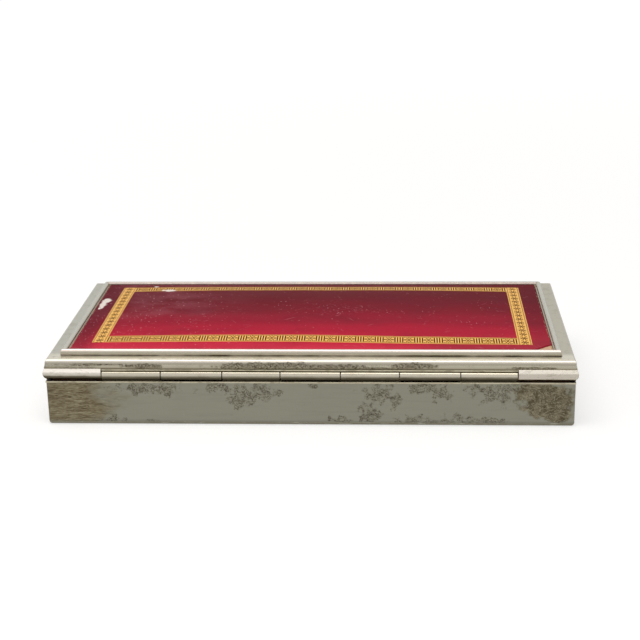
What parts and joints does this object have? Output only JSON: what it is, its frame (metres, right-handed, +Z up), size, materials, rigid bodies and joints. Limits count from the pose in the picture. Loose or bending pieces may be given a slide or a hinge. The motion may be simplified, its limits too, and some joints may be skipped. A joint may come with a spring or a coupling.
{
  "type": "silverware chest",
  "caption": "Low rectangular silver-plated chest for table cutlery, with a moulded lid on a rear knuckle hinge and a gilt-tooled red leather panel.",
  "frame": {"origin": "middle of the underside, on the surface that the chest stands on", "axes": "+X to the right and +Y to the rear, seen from the front; +Z up; the hinge runs along X at the rear"},
  "size_m": [0.3024, 0.1516, 0.0439],
  "materials": {
    "silver_plate": "worn, softly polished silver plate",
    "tarnished_silver": "dull silver plate with brown tarnish",
    "steel_pin": "drawn wire",
    "lining_wood": "waxed cedar",
    "velvet": "cut velvet",
    "satin": "aged satin",
    "wadding": "felt wadding",
    "backing_board": "millboard",
    "red_leather": "glossy calf, gilt-tooled, scratched"
  },
  "bodies": {
    "box": {"base_plate": "tarnished_silver", "body_walls": "tarnished_silver", "rim_wire": "silver_plate", "body_bearer": "silver_plate", "body_knuckle_1": "silver_plate", "body_knuckle_2": "silver_plate", "body_knuckle_3": "silver_plate", "body_knuckle_4": "silver_plate", "hinge_pin": "steel_pin", "liner_floor": "lining_wood", "liner_front": "lining_wood", "liner_rear": "lining_wood", "liner_left": "lining_wood", "liner_right": "lining_wood", "floor_pad": "velvet", "rack_left": "velvet", "rack_right": "velvet"},
    "lid": {"lid_plate": "silver_plate", "moulding_front": "silver_plate", "moulding_rear": "silver_plate", "moulding_left": "silver_plate", "moulding_right": "silver_plate", "bead_front": "silver_plate", "bead_left": "silver_plate", "bead_right": "silver_plate", "bead_rear_left": "silver_plate", "bead_rear_right": "silver_plate", "frame_front": "silver_plate", "frame_rear": "silver_plate", "frame_left": "silver_plate", "frame_right": "silver_plate", "lid_bearer": "silver_plate", "lid_knuckle_1": "silver_plate", "lid_knuckle_2": "silver_plate", "lid_knuckle_3": "silver_plate", "backing_board": "backing_board", "wadding": "wadding", "leather_panel": "red_leather", "lid_board": "lining_wood", "lid_pad": "satin"}
  },
  "joints": [
    {"name": "lid_hinge", "type": "hinge", "parent": "box", "child": "lid", "pos_m": [0, 0.0729, 0.0298], "axis": [-1, 0, 0], "range_deg": [0, 100]}
  ]
}
